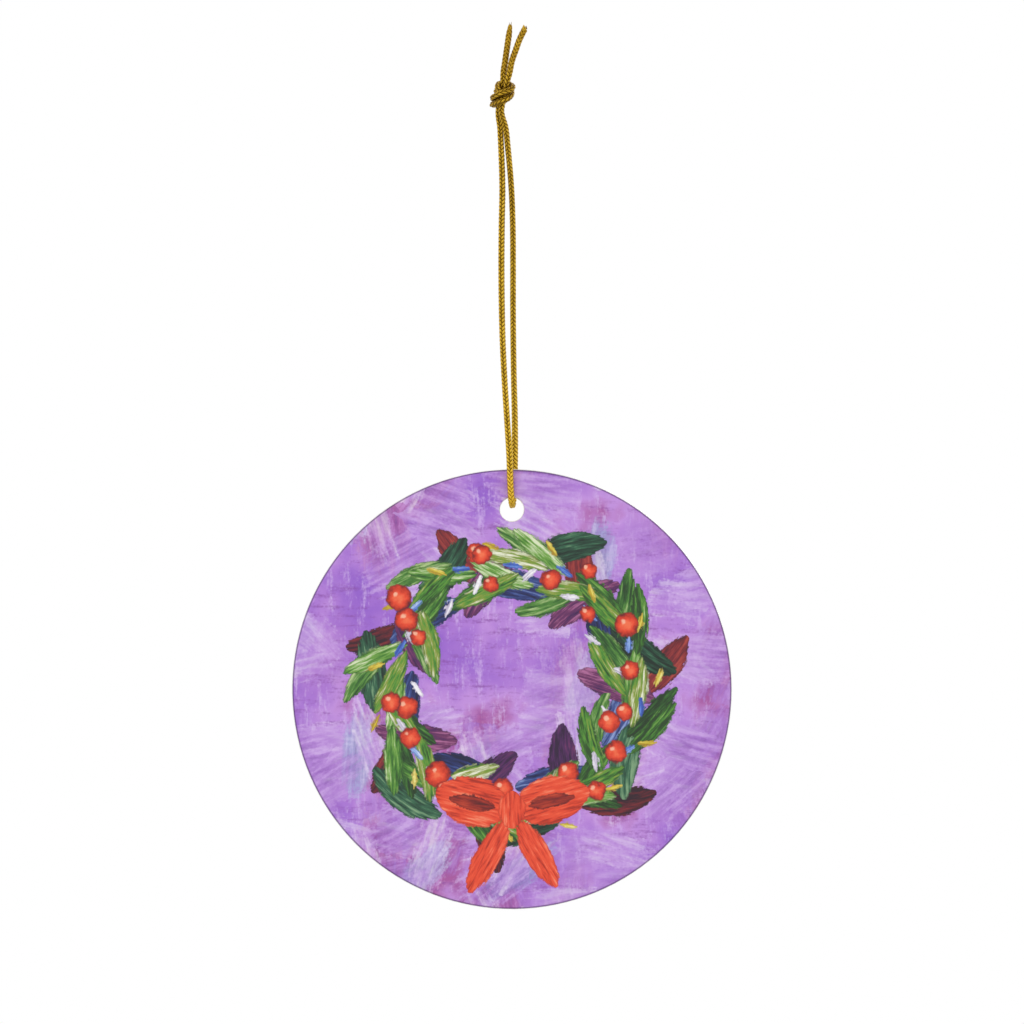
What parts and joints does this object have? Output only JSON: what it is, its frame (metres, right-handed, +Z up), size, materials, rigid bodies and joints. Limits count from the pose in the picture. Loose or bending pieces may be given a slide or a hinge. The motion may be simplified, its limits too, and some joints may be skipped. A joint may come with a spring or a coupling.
{
  "type": "souvenir christmas ornament",
  "caption": "Round flat ceramic tree ornament with a printed front face, hung through a hole near its rim on a knotted loop of gold braided cord.",
  "frame": {"origin": "hanging point: top of the cord loop, where its two legs meet under the knot", "axes": "+Z up along the loop, +X to the right seen from the printed front, the print faces -Y and +Y is through the disc's thickness"},
  "size_m": [0.071, 0.0055, 0.1434],
  "materials": {
    "glazed_white": "smooth white glaze",
    "printed_coat": "smooth glossy printed coat, painted look",
    "gold_cord": "metallic gold braid"
  },
  "bodies": {
    "hanger": {"cord_bight": "gold_cord", "cord_front_leg": "gold_cord", "cord_rear_leg": "gold_cord", "cord_knot": "gold_cord", "cord_left_tail": "gold_cord", "cord_right_tail": "gold_cord"},
    "disc": {"ceramic_disc": "glazed_white", "print_coat": "printed_coat"}
  },
  "joints": [
    {"name": "disc_swing", "type": "hinge", "parent": "hanger", "child": "disc", "pos_m": [0.0012, 0, -0.0594], "axis": [0, 1, 0], "range_deg": [-90, 90]}
  ]
}
